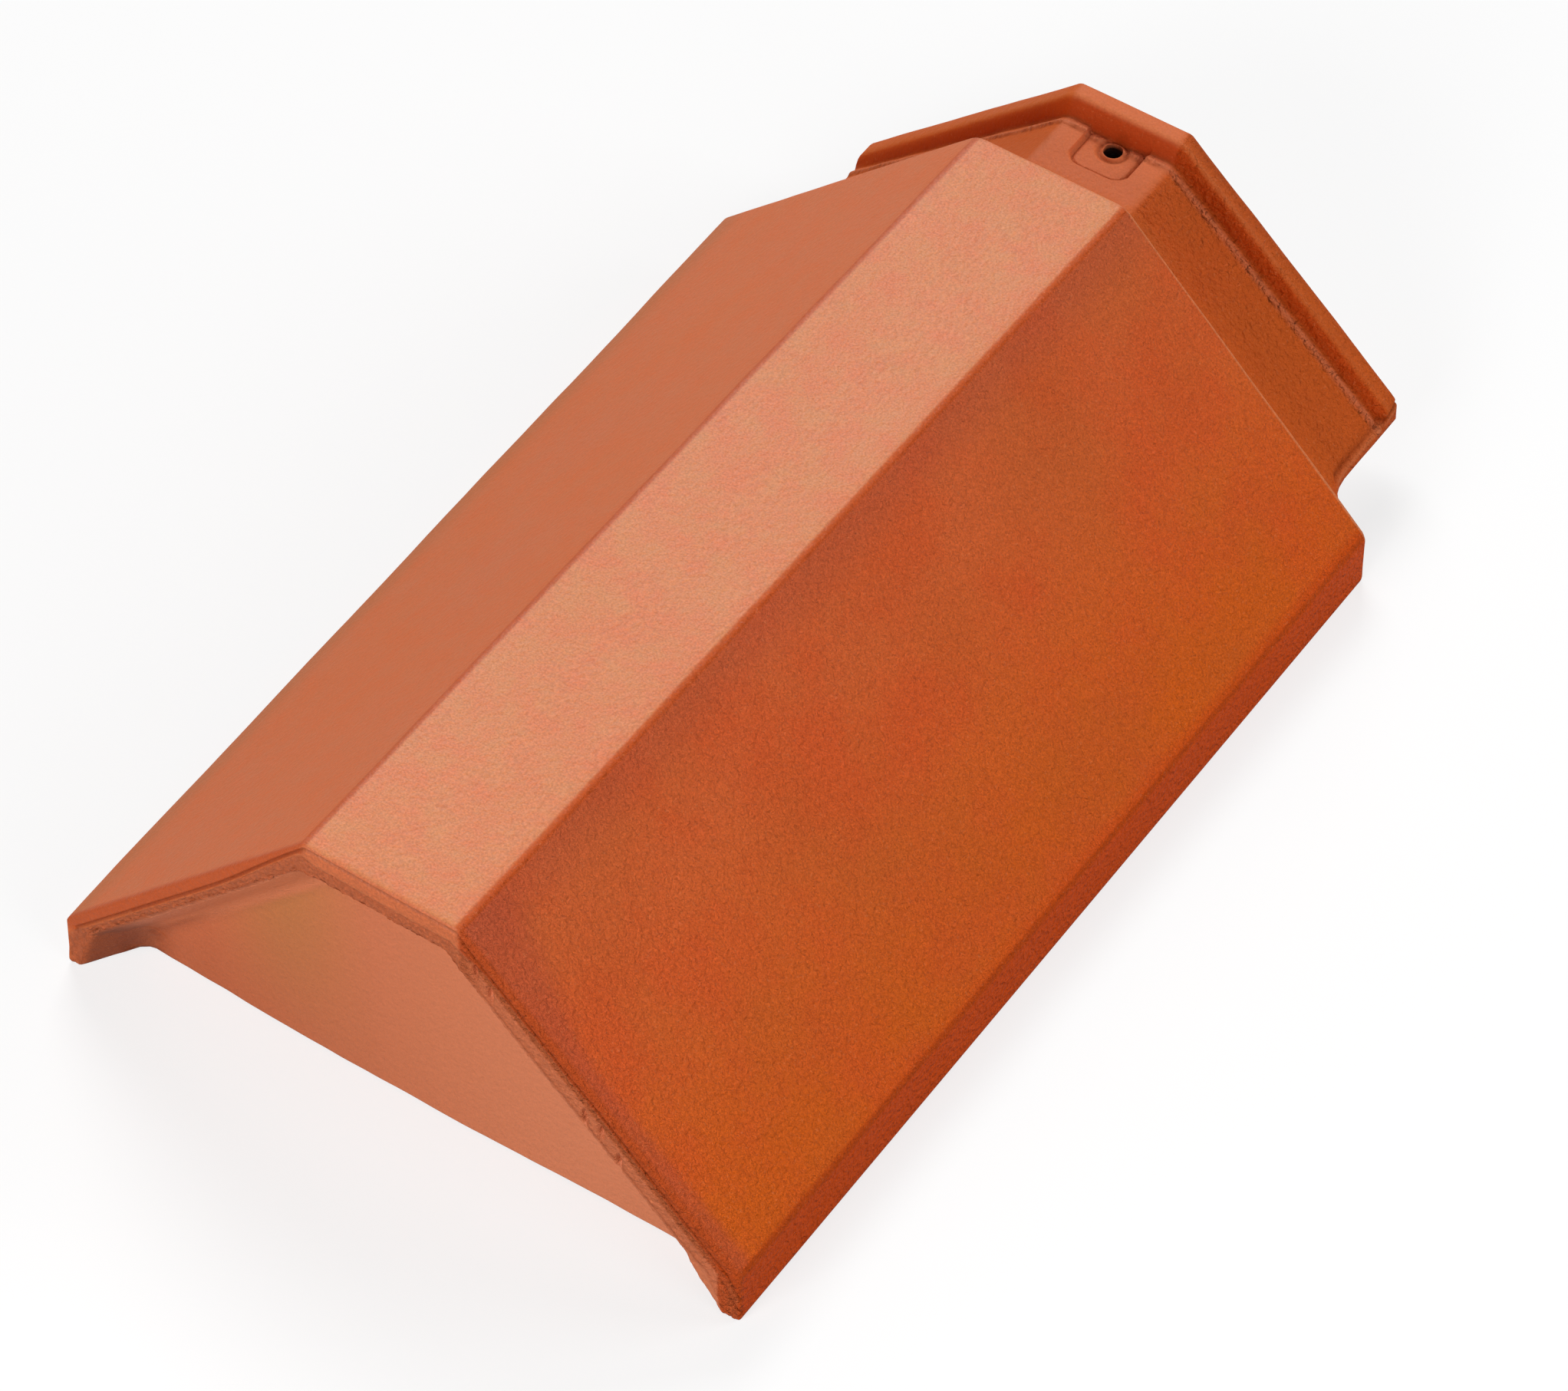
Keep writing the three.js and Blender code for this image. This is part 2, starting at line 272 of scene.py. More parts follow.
# %% Helpers that place a station
def station(y, outside, inside, inside_y=None):
    """The eight corners at one station: four outside, then their four partners inside."""
    corners = []
    for level, section in ((y, outside), (y if inside_y is None else inside_y, inside)):
        corners.append(Vector((0, level, section[0][1])))
        corners += [Vector((x, level, z)) for x, z in section]
    return corners


BEND_SHARES = (0, 0.25, 0.5, 0.75, 1)


def bend(before, corner, after, run):
    """Five stations that round a bend, starting and ending a run of clay away from it."""
    stations = []
    for share in BEND_SHARES:
        places = []
        for a, b, c in zip(before, corner, after):
            start, stop = b + (a - b).normalized() * run, b + (c - b).normalized() * run
            places.append(start.lerp(b, share).lerp(b.lerp(stop, share), share))
        stations.append(places)
    return stations


# %% The stations, from the front to the end
shoulder = station(SHOULDER, BODY, BODY_INSIDE, SHOULDER - LAP_WALL)
valley = station(SHOULDER + SHOULDER_RUN, LAP, LAP_INSIDE, SHOULDER + SHOULDER_RUN - LAP_WALL)
rim_foot = station(RIM_FOOT, LAP, LAP_INSIDE)
STATIONS = [
    station(FRONT, BODY, BODY_INSIDE),
    station(WALL_FACE, BODY, RECESS),
    station(WALL_BACK, BODY, BODY_INSIDE),
    shoulder,
    *bend(shoulder, valley, rim_foot, VALLEY_RUN),
    rim_foot,
    station(RIM_TOP, RIM, LAP_INSIDE),
    station(END, RIM, LAP_INSIDE),
]
AT_FRONT, AT_WALL_FACE, AT_WALL_BACK, AT_SHOULDER = range(4)
AT_RIM_FOOT, AT_RIM_TOP, AT_END = range(len(STATIONS) - 3, len(STATIONS))
print("stations:", len(STATIONS))


# %% [markdown]
# ## The cage
#
# The first slice is a plane stood on edge, with two more extruded from its side, and each of their
# corners is slid to its place. The slice's faces are then extruded from station to station. The
# vertices could be typed in as a list, but extruding keeps each face joined to its neighbours.
# Vertices, edges and faces are chosen by their place, because their numbers change at each step.

# %% Helpers that choose parts of the mesh by their place
TINY = 0.01 * MM


def shape():
    """The mesh that is being edited."""
    return bmesh.from_edit_mesh(bpy.context.object.data)


def choose(kind, wanted):
    """Selects the vertices, edges or faces that pass a test, and says how many."""
    bpy.ops.mesh.select_mode(type=kind)
    bpy.ops.mesh.select_all(action="DESELECT")
    items = {"VERT": shape().verts, "EDGE": shape().edges, "FACE": shape().faces}[kind]
    items.ensure_lookup_table()
    chosen = [item for item in items if wanted(item)]
    for item in chosen:
        item.select_set(True)
    shape().select_flush_mode()
    bmesh.update_edit_mesh(bpy.context.object.data)
    return len(chosen)


def near(a, b):
    """Whether two places are the same, but for rounding."""
    return (a - b).length < TINY


def stands_on(item, places):
    """Whether each corner of an edge or a face is at one of some places."""
    return all(any(near(vertex.co, place) for place in places) for vertex in item.verts)


def slide(old, new):
    """Moves the vertex at one place to another."""
    choose("VERT", lambda vertex: near(vertex.co, old))
    bpy.ops.transform.translate(value=new - old)


def move_end(before, after):
    """Moves the end of the strip, corner by corner."""
    for old, new in zip(before, after):
        slide(old, new)


# %% The first slice: three patches of clay, seen end-on
front = STATIONS[AT_FRONT]
SQUARE = [Vector((x, 0, z)) for z in (0.5, -0.5) for x in (-0.5, 0.5)]
FIRST_PATCH = [front[i] for i in (CENTRE, RIDGE, CENTRE + INSIDE, RIDGE + INSIDE)]
SIDE_HOP = Vector((WIDTH, 0, 0))
bpy.ops.object.select_all(action="DESELECT")
bpy.ops.mesh.primitive_plane_add(size=1, rotation=(math.pi / 2, 0, 0))
tile = bpy.context.object
tile.name = "tile"
bpy.ops.object.transform_apply(rotation=True)
bpy.ops.object.mode_set(mode="EDIT")
move_end(SQUARE, FIRST_PATCH)
for corner in (RIDGE, FOLD):
    ends = [front[corner], front[corner + INSIDE]]
    choose("EDGE", lambda edge: stands_on(edge, ends))
    bpy.ops.mesh.extrude_edges_move(TRANSFORM_OT_translate={"value": SIDE_HOP})
    move_end([place + SIDE_HOP for place in ends], [front[corner + 1], front[corner + 1 + INSIDE]])
print("patches in the slice:", len(shape().faces))

# %% Draw the slice out through the stations
HOP = Vector((0, LENGTH * 2, 0))
for before, after in zip(STATIONS, STATIONS[1:]):
    choose("FACE", lambda face: stands_on(face, before))
    bpy.ops.mesh.extrude_region_move(TRANSFORM_OT_translate={"value": HOP})
    move_end([place + HOP for place in before], after)
choose("FACE", lambda face: all(abs(v.co.x) < TINY for v in face.verts))
bpy.ops.mesh.delete(type="FACE")
print("faces in half the tile:", len(shape().faces))

# %% [markdown]
# ## The closing wall
#
# A slab of clay is luted in a little way behind the front edge. A slab could be pushed through
# the strip and joined by a Boolean, but its edges would then be hard to round. Here the inner skin
# is opened between the wall's face and its back, the wall's foot is drawn across to the middle from
# the flange's foot, and the two faces are filled in, each as a column of clay under each patch.

# %% Open the skin and draw the wall's foot across
wall_sides = [STATIONS[row][INSIDE:] for row in (AT_WALL_FACE, AT_WALL_BACK)]
DOWN_HOP = Vector((0, 0, -1))


def on_ground(place):
    """The place on the ground straight below another."""
    return Vector((place.x, place.y, 0))


choose("FACE", lambda face: stands_on(face, wall_sides[0] + wall_sides[1]))
bpy.ops.mesh.delete(type="ONLY_FACE")
feet = [corners[FEET] for corners in wall_sides]
for corner in (FOLD, RIDGE, CENTRE):
    choose("EDGE", lambda edge: stands_on(edge, feet))
    bpy.ops.mesh.extrude_edges_move(TRANSFORM_OT_translate={"value": DOWN_HOP})
    below = [on_ground(corners[corner]) for corners in wall_sides]
    move_end([place + DOWN_HOP for place in feet], below)
    feet = below

# %% Fill the wall's two faces
for corners in wall_sides:
    for corner in (CENTRE, RIDGE, FOLD):
        upper = corners[corner:corner + 2]
        column = upper + [on_ground(place) for place in upper]
        choose("VERT", lambda vertex: any(near(vertex.co, place) for place in column))
        bpy.ops.mesh.edge_face_add()
choose("EDGE", lambda edge: not edge.link_faces)
bpy.ops.mesh.delete(type="EDGE")
bpy.ops.mesh.select_all(action="SELECT")
bpy.ops.mesh.normals_make_consistent(inside=False)
print("faces with the wall:", len(shape().faces))

# %% [markdown]
# ## Soft edges
#
# Pressed clay has no sharp edge: each one is as round as the mould or the thumb that made it. The
# edges could be bevelled one by one in edit mode, but then their corners wouldn't meet. A Bevel
# modifier rounds every edge at once, corners included, if each edge carries a weight. The widths
# below are in millimetres, and the weight is each one's share of the widest.

# %% Note which station and corner each vertex of the cage is
corner_of = {}
for vertex in shape().verts:
    for row, places in enumerate(STATIONS):
        for corner, place in enumerate(places):
            if near(vertex.co, place):
                corner_of[vertex.index] = (row, corner)
print("corners named:", len(corner_of))


# %% Helpers that soften an edge
WIDEST = 9 * MM
NOWHERE = (-1, -1)


def soften(width, wanted):
    """Gives a bevel width to the edges whose two ends, each a station and a corner, pass a test."""
    def passes(edge):
        ends = sorted(corner_of.get(vertex.index, NOWHERE) for vertex in edge.verts)
        return NOWHERE not in ends and wanted(*ends)

    count = choose("EDGE", passes)
    bpy.ops.transform.edge_bevelweight(value=width / WIDEST)
    return count


def along(corner, first, last):
    """A test for the edges that run along one corner line, from one station to another."""
    return lambda a, b: a[1] == b[1] == corner and first <= a[0] and b[0] <= last


def across(row, corners=range(4)):
    """A test for the edges that run round the section at one station, between some corners."""
    return lambda a, b: a[0] == b[0] == row and a[1] in corners and b[1] in corners


def soften_all(edges):
    """Softens a table of edges, each row a width in millimetres and a test."""
    return sum(soften(width * MM, wanted) for width, wanted in edges)


# %% Soften the outer folds and feet, from the front to the end
OUTER_EDGES = (
    (1.8, along(RIDGE, AT_FRONT, AT_SHOULDER)),
    (2.5, along(RIDGE, AT_SHOULDER, AT_END)),
    (2, along(FOLD, AT_FRONT, AT_SHOULDER)),
    (1, along(FOLD, AT_SHOULDER, AT_RIM_TOP)),
    (3.8, along(FOLD, AT_RIM_TOP, AT_END)),
    (2.6, along(FEET, AT_FRONT, AT_SHOULDER)),
    (0.8, along(FEET, AT_SHOULDER, AT_END)),
)
print("outer edges softened:", soften_all(OUTER_EDGES))

# %% Soften their partners on the inside
INNER_EDGES = (
    (3, along(RIDGE + INSIDE, AT_FRONT, AT_END)),
    (1.5, along(FOLD + INSIDE, AT_FRONT, AT_SHOULDER)),
    (1, along(FOLD + INSIDE, AT_SHOULDER, AT_END)),
    (1.8, along(FEET + INSIDE, AT_FRONT, AT_WALL_FACE)),
    (1, along(FEET + INSIDE, AT_WALL_FACE, AT_END)),
)
print("inner edges softened:", soften_all(INNER_EDGES))

# %% Soften the edges that run round the section
INNER = range(INSIDE, INSIDE + 4)
ROUND_EDGES = (
    (1.6, across(AT_FRONT)),
    (1.6, across(AT_FRONT, (FEET, FEET + INSIDE))),
    (0.6, across(AT_FRONT, INNER)),
    (6, across(AT_WALL_FACE, INNER[:FEET])),
    (9, across(AT_WALL_FACE, INNER[FOLD:])),
    (2.5, across(AT_WALL_BACK, INNER)),
    (1.2, across(AT_SHOULDER)),
    (1, across(AT_RIM_FOOT, range(FEET))),
    (2, across(AT_RIM_TOP, range(FEET))),
    (2.5, across(AT_END)),
    (1, across(AT_END, INNER)),
    (1.5, across(AT_SHOULDER, INNER)),
)
print("edges round the section softened:", soften_all(ROUND_EDGES))


# %% Soften the wall's foot
def is_wall_foot(edge):
    """The wall's lower edges run across the tile between the two inner feet."""
    a, b = (vertex.co for vertex in edge.verts)
    across_tile = max(a.z, b.z) < TINY and abs(a.y - b.y) < TINY
    return across_tile and max(a.x, b.x) < WIDTH / 2 - FOOT


WALL_FOOT_WIDTH = 1.5 * MM
print("edges of the wall's foot:", choose("EDGE", is_wall_foot))
bpy.ops.transform.edge_bevelweight(value=WALL_FOOT_WIDTH / WIDEST)

# %% Mirror the half
bpy.ops.object.mode_set(mode="OBJECT")
mirror = tile.modifiers.new("mirror", "MIRROR")
mirror.use_clip = True
bpy.ops.object.modifier_apply(modifier="mirror")
print("faces of both halves:", len(tile.data.polygons))

# %% [markdown]
# ## The left side of the opening
#
# A tile is not symmetrical where a hand has been at work. On the left the opening was smoothed out
# with a thumb, which leaves the front edge only some 8 mm thick there and the flange's tip 4 mm.
# Three corners of the cage are slid over before the edges are rounded, so that their bevels follow.

# %% Thin the left side of the front edge
# Each inner corner's new x and z, in mm.
THINNED = {RIDGE: (-29.4, 99), FOLD: (-112, 18), FEET: (-116, 0)}
bpy.ops.object.mode_set(mode="EDIT")
for corner, (x, z) in THINNED.items():
    old = STATIONS[AT_FRONT][corner + INSIDE]
    slide(Vector((-old.x, old.y, old.z)), Vector((x * MM, FRONT, z * MM)))
bpy.ops.object.mode_set(mode="OBJECT")

# %% Round the edges
SEGMENTS = 4
rounding = tile.modifiers.new("rounding", "BEVEL")
rounding.limit_method = "WEIGHT"
rounding.width = WIDEST
rounding.segments = SEGMENTS
rounding.use_clamp_overlap = False
rounding.miter_outer = "MITER_SHARP"
bpy.ops.object.modifier_apply(modifier="rounding")
print("faces once rounded:", len(tile.data.polygons))

# %% [markdown]
# ## A finer mesh
#
# Dents, tool marks and torn edges need small faces. A Subdivision Surface modifier would make all
# of the tile finer, and most of it is plain. So the long faces are cut into rings of about 5 mm
# first. The front edge, the head's rim and the clip seat are then divided again, as finely as
# their marks need.


# %% Helpers that cut rings
SPARED = 1.4    # an edge up to this many times the pitch is left as it is


def cut_rings(pitch, wanted):
    """Cuts the ring through each edge that passes a test, until none is much over the pitch."""
    too_long = pitch * SPARED
    while True:
        edges = [edge for edge in shape().edges if wanted(edge) and edge.calc_length() > too_long]
        if not edges:
            break
        first = edges[0].index
        cuts = math.ceil(edges[0].calc_length() / pitch) - 1
        choose("EDGE", lambda edge: edge.index == first)
        bpy.ops.mesh.loop_multi_select(ring=True)
        bpy.ops.mesh.subdivide(number_cuts=cuts)


def on_middle(edge, start, stop):
    """An edge on the middle plane that runs along the tile between two places, or at the front."""
    a, b = (vertex.co for vertex in edge.verts)
    if max(abs(a.x), abs(b.x)) >= TINY:
        return False
    along_tile = abs(a.y - b.y) > abs(a.z - b.z) or max(a.y, b.y) < FRONT + 2 * MM
    return along_tile and min(a.y, b.y) > start and max(a.y, b.y) < stop


PANEL_OUT = Vector((BODY[0][1] - BODY[1][1], BODY[1][0] - BODY[0][0])).normalized()


def inset(co):
    """How far a place lies inside the body's outer faces, seen along the ridge."""
    place = Vector((abs(co.x), co.z))
    return min(HEIGHT - co.z, (Vector(BODY[0]) - place).dot(PANEL_OUT), WIDTH / 2 - abs(co.x))


def over_wall_back(edge):
    """An edge on the outside that runs round the section above the wall's back."""
    return all(abs(v.co.y - WALL_BACK) + abs(inset(v.co)) < TINY for v in edge.verts)


# %% Cut the rings
bpy.ops.object.mode_set(mode="EDIT")
cut_rings(1.4 * MM, lambda edge: on_middle(edge, SHOULDER + 15 * MM, RIM_TOP + 1 * MM))
cut_rings(5 * MM, lambda edge: on_middle(edge, -LENGTH, LENGTH))
cut_rings(4 * MM, over_wall_back)
print("faces after the rings:", len(shape().faces))


# %% Divide the places that carry marks
SEAT_LEVEL = LAP_TOP - 6 * MM
SEAT_PATCH_HALF, SEAT_PATCH_START, SEAT_PATCH_END = 14.5 * MM, 170 * MM, 194 * MM


def divide(rounds, wanted, smallest=0):
    """Divides the faces whose corners all pass a test, if they are over a smallest area."""
    def passes(face):
        return face.calc_area() > smallest and all(wanted(vertex.co) for vertex in face.verts)

    for _ in range(rounds):
        choose("FACE", passes)
        bpy.ops.mesh.subdivide()


def in_seat(co):
    """The clip seat and the clay round it, on top of the lap."""
    along_lap = SEAT_PATCH_START < co.y < SEAT_PATCH_END
    return along_lap and co.z > SEAT_LEVEL and abs(co.x) < SEAT_PATCH_HALF


def on_lap_foot(co):
    """The lap's lower right edge."""
    return co.y > SHOULDER + 12 * MM and 18 * MM < co.z < 30 * MM and co.x > 90 * MM


divide(2, lambda co: co.y < FRONT + 12.5 * MM)
divide(1, lambda co: co.y < FRONT + 1 * MM and inset(co) > 0.5 * MM, 0.5 * MM**2)
divide(2, in_seat)
divide(1, in_seat, 0.3 * MM**2)
divide(1, on_lap_foot, 0.6 * MM**2)
print("faces after dividing:", len(shape().faces))
bpy.ops.object.mode_set(mode="OBJECT")

# %% [markdown]
# ## The marks of making
#
# The tile was pressed in a mould, cut off at the front and finished by hand. Its marks could be
# sculpted, but a stroke can't be written down and measured. So each mark is a Displace modifier: a
# vertex group says how much of it each vertex takes, by its place, and a cloud texture breaks it
# up where clay was torn. The tile stays in its box, and no mark moves the feet.


# %% Helpers for the marks
LEAST_WEIGHT = 0.002
CLOUD_CONTRAST = 1.5


def ramp(start, stop, value):
    """Goes smoothly from 0 at one value to 1 at another."""
    share = min(max((value - start) / (stop - start), 0), 1)
    return share * share * (3 - 2 * share)


def peak(middle, half, value):
    """Rises smoothly to 1 at one value, and is 0 further from it than half the peak's width."""
    return 1 - ramp(0, half, abs(value - middle))


def press(name, depth, direction, weight, grain=None, detail=2):
    """Moves the clay by a depth along a direction, times each vertex's weight.

    A grain is the size of the clouds that break the mark up, and detail is how fine they get.
    """
    group = tile.vertex_groups.new(name=name)
    count = 0
    for vertex in tile.data.vertices:
        amount = weight(vertex.co)
        if amount > LEAST_WEIGHT:
            group.add([vertex.index], min(amount, 1), "REPLACE")
            count += 1
    mark = tile.modifiers.new(name, "DISPLACE")
    mark.vertex_group = name
    mark.direction = direction
    mark.strength = depth
    mark.mid_level = 0
    if grain:
        mark.texture = bpy.data.textures.new(name, "CLOUDS")
        mark.texture.noise_scale = grain
        mark.texture.noise_depth = detail
        mark.texture.intensity = 1
        mark.texture.contrast = CLOUD_CONTRAST
    bpy.ops.object.modifier_apply(modifier=name)
    tile.vertex_groups.remove(tile.vertex_groups[name])
    print(name, "moves", count, "vertices")


# %% The panels are a little uneven
press("uneven", -0.45 * MM, "NORMAL", lambda co: ramp(1 * MM, 8 * MM, co.z), 40 * MM)

# %% [markdown]
# A tile also warps by a few millimetres as it dries. A Lattice could bend it, but here the warp is
# known at the section's four upper corners, and at four places along the tile: the front, the
# shoulder, the lap behind it and the far end. It runs evenly in between, and the feet stay where
# they stand. A vertex group holds no value below 0, so each direction is pressed there and back.


# %% The warp, in millimetres: a row of corners, from left to right, for each place
CORNERS = (-WIDTH / 2, -TOP_FLAT / 2, TOP_FLAT / 2, WIDTH / 2)
PLACES = (FRONT, SHOULDER, SHOULDER + 12 * MM, END)
MOST_WARP = 6
WARP = {
    "X": ((0, -3.3, -3.1, 0), (0, 0, 0, 0), (1.5, 0, 0, 2.4), (2, 0, 0, 2.2)),
    "Z": ((-1.5, 0, -1.6, -0.6), (3.6, 0, -0.9, -1.8), (4, 0, -0.5, 1.3), (5.5, 0.3, -0.2, 0.3)),
}


def above_feet(co):
    """0 at the feet, which stay on the ground, and 1 a little above them."""
    return ramp(1 * MM, 15 * MM, co.z)


def warped(co, sections):
    """The warp at a place, in millimetres, found between the corners and between the places."""
    across_here = [float(np.interp(co.x, CORNERS, section)) for section in sections]
    return float(np.interp(co.y, PLACES, across_here)) * above_feet(co)


for direction, sections in WARP.items():
    for sign in (1, -1):
        press("warp", sign * MOST_WARP * MM, direction,
              lambda co: sign * warped(co, sections) / MOST_WARP)


@functools.cache
def ridge_fold(side, y):
    """Where the left (-1) or right (1) fold beside the ridge runs at a place along the tile."""
    corner = 1 if side < 0 else 2
    half = float(np.interp(y, (SHOULDER, SHOULDER + SHOULDER_RUN), (TOP_FLAT / 2, LAP_FLAT / 2)))
    rows = [[section[corner] for section in WARP[direction]] for direction in "XZ"]
    x, z = (float(np.interp(y, PLACES, row)) * MM for row in rows)
    return side * half + x, HEIGHT + z


# %% [markdown]
# ## The front edge
#
# Where a wire or a blade cut the clay, its surface is torn, and a thin line of flash stands along
# the mould's rim. A texture could only tint that. The edge faces the eye, so it is pressed into the
# mesh: a groove for the line, broken clay inside it, and a lip that crumbles. The hand that
# smoothed the right side left less of it there.


# %% Where the front edge's line, torn clay and lip lie
def depth_in(co):
    """How far a place near the front lies inside the outer faces, with the warp taken away."""
    if co.y > FRONT + 20 * MM:
        return inset(co)
    risen = above_feet(co)
    x, z = (float(np.interp(co.x, CORNERS, WARP[way][0])) * MM * risen for way in "XZ")
    return inset(co - Vector((x, 0, z)))


def rightness(co):
    """0 on the left and the top, 1 on the right panel, where the edge was smoothed over."""
    return ramp(20 * MM, 34 * MM, co.x)


def lip(co):
    """How far in the front edge's inner lip lies: the left side and its flange are thinner."""
    above_flange = (13.5 - 5.8 * ramp(-24 * MM, -34 * MM, co.x)) * MM
    return above_flange - 5 * MM * ramp(20 * MM, 2 * MM, co.z)


def flash(co):
    """How far in the flash line lies: further in towards the flanges."""
    if co.x < 0:
        away = ramp(30 * MM, 66 * MM, -co.x)
    else:
        away = max(0.5 * rightness(co), ramp(50 * MM, 100 * MM, co.x))
    return (2.1 + 2.3 * away) * MM


def torn(co):
    """How far in the torn clay starts: well inside the line on the top, at once on the flanges."""
    further = 4.2 * ramp(-32 * MM, -26 * MM, co.x) * (1 - rightness(co))
    start = flash(co) + (0.6 + further) * MM
    return 0.5 * MM + (start - 0.5 * MM) * ramp(12 * MM, 20 * MM, co.z)


def on_front(co):
    """The front edge's face, out to its rounded borders."""
    return 1 - ramp(1.2 * MM, 2.4 * MM, co.y - FRONT)


# %% Press the line, the torn clay and the lip
FLANGE_SIDE = 100 * MM


def on_flash(co):
    """The flash line, which runs out to the corner on the right flange."""
    if co.x > FLANGE_SIDE and co.z < 19 * MM:
        line_x = 119.8 * MM - 0.45 * (co.z - 9.5 * MM)
        return on_front(co) * peak(line_x, 0.8 * MM, co.x) * ramp(8 * MM, 10 * MM, co.z)
    return on_front(co) * peak(flash(co), 1 * MM, depth_in(co)) * ramp(15 * MM, 19 * MM, co.z)


def smoothed_by_hand(co):
    """The inner part of the right side's edge, which was wiped smoother."""
    return rightness(co) * ramp(2.8 * MM, 3.8 * MM, depth_in(co) - flash(co))


def raw_clay(co):
    """Where the cut clay lies bare, all the way to the lip."""
    strip = ramp(0, 0.8 * MM, depth_in(co) - torn(co))
    return on_front(co) * strip * (1 - 0.5 * smoothed_by_hand(co))


def on_lip(co):
    """The edge between the cut clay and the opening, less so where it was smoothed over."""
    away = math.hypot(lip(co) - depth_in(co), co.y - FRONT)
    return peak(0, 2.4 * MM, away) * ramp(1 * MM, 4 * MM, co.z) * (1 - 0.6 * rightness(co))


press("flash_line", 0.7 * MM, "Y", on_flash)
press("torn_clay", 0.8 * MM, "Y", raw_clay, 1.2 * MM)
press("ragged_lip", -1.2 * MM, "NORMAL", on_lip, 2.2 * MM)

# %% A few pits in the right lip
# How far to the right each one is, and how far in, in mm.
PITS = {29: 10.5, 34.2: 11.9, 66.4: 12.4, 72: 10.6, 78: 12.9}


def pit(co):
    """Small holes where a crumb broke out, drawn out a little across the edge."""
    if co.y >= FRONT + 3 * MM or co.x <= 0:
        return 0
    return max(peak(0, 1.6 * MM, math.hypot(co.x - x * MM, (inset(co) - deep * MM) / 2))
               for x, deep in PITS.items())


press("pits", 2 * MM, "Y", pit)


# %% A crack at the right flange's tip
def crack(co):
    """A slit that curls round the front of the flange's tip."""
    if co.x < FLANGE_SIDE or co.y > FRONT + 2.5 * MM:
        return 0
    slit_x = 119.3 * MM - 0.6 * (co.z - 4.5 * MM)
    open_here = 0.35 + 0.65 * ramp(9 * MM, 6 * MM, co.z)
    return peak(slit_x, 0.8 * MM, co.x) * ramp(18 * MM, 14 * MM, co.z) * open_here


press("crack", 1.5 * MM, "Y", crack)


# %% The closing wall was luted in by hand, so its face isn't quite flat or square
def on_wall(co):
    """The closing wall's face, fading out in front of it and into the wall."""
    if inset(co) < 13 * MM:
        return 0
    behind_edge = ramp(FRONT + 6 * MM, WALL_FACE - 1 * MM, co.y)
    return behind_edge * ramp(WALL_BACK - 2 * MM, WALL_FACE + 3 * MM, co.y)


def set_back(co):
    """The wall's left part, which stands further back the further left it is."""
    return on_wall(co) * (min(co.x - 20 * MM, 0) / (125 * MM)) ** 2


press("wall_forward", -1.4 * MM, "Y", on_wall)
press("wall_left", 3.2 * MM, "Y", set_back)
press("wall_smears", 0.7 * MM, "Y", on_wall, 22 * MM, 1)

# %% [markdown]
# ## The head's lines
#
# The mould for the head has a rim pressed into it. Clay that creeps along the rim's foot leaves a
# burr, with a groove behind it, and the mould's two halves leave a seam low on the lap. They could
# be extruded as strips, but lines that fade out are simpler pressed.


# %% A burr and a groove along the rim's foot
def rim_line(co, before, half):
    """A line across the lap, at a distance before the rim's foot."""
    if co.z < LAP_FOLD or inset(co) > 30 * MM:
        return 0
    return peak(RIM_FOOT - before, half, co.y)


press("burr", 0.8 * MM, "NORMAL", lambda co: rim_line(co, 2.6 * MM, 1.9 * MM), 6 * MM)
press("groove", -0.7 * MM, "NORMAL", lambda co: rim_line(co, 0.3 * MM, 1.1 * MM), 9 * MM)


# %% A seam along the lap's lower right edge
def lap_line(co, lower=0):
    """The mould's seam, which runs on across the rim's end, or a line so much lower."""
    if co.x < 90 * MM or co.y < SHOULDER + 13 * MM:
        return 0
    seam = LAP_FOLD + (2.2 + 1.8 * ramp(RIM_FOOT, END, co.y)) * MM
    return peak(seam - lower, 1.2 * MM, co.z)


press("lap_seam", -0.7 * MM, "NORMAL", lap_line)

# %% [markdown]
# ## The clip seat and its screw hole
#
# A metal clip holds the next tile down. It lies in a shallow seat pressed into the top of the lap,
# and one screw goes through a hole in its middle, with a ring pressed round it. The seat is shallow
# and round-cornered, so it is pressed like the marks. The hole has a sharp, straight bore, which a
# Boolean cuts best.

# %% Where the seat and the ring lie
SEAT_HALF, SEAT_LENGTH, SEAT_DEPTH, SEAT_ROUND = 10.75 * MM, 17 * MM, 1.8 * MM, 5.5 * MM
HOLE_Y, HOLE_RADIUS, DIMPLE_RADIUS, DIMPLE_DEPTH = END - 14 * MM, 3.15 * MM, 4.6 * MM, 1 * MM


def on_lap_top(co):
    """Whether a place is on the lap's flat top or just below it."""
    return co.z >= SEAT_LEVEL and co.y >= SHOULDER


def outside_seat(co):
    """How far a place lies outside the seat's outline, which is open towards the rim."""
    across_seat = abs(co.x) - SEAT_HALF + SEAT_ROUND
    before_seat = RIM_FOOT - SEAT_LENGTH - co.y + SEAT_ROUND
    round_part = math.hypot(max(across_seat, 0), max(before_seat, 0))
    return round_part + min(max(across_seat, before_seat), 0) - SEAT_ROUND


def seat(co):
    """The clip's seat, which ends at the rim's foot."""
    if not on_lap_top(co):
        return 0
    before_rim = ramp(RIM_FOOT + 1.2 * MM, RIM_FOOT + 0.2 * MM, co.y)
    return ramp(0.3 * MM, -0.7 * MM, outside_seat(co)) * before_rim


def seat_line(co):
    """A narrow groove just inside the seat's outline, where the stamp's edge bit deeper."""
    if seat(co) == 0 or co.y >= RIM_FOOT - 1 * MM:
        return 0
    return peak(-0.9 * MM, 1.1 * MM, outside_seat(co))


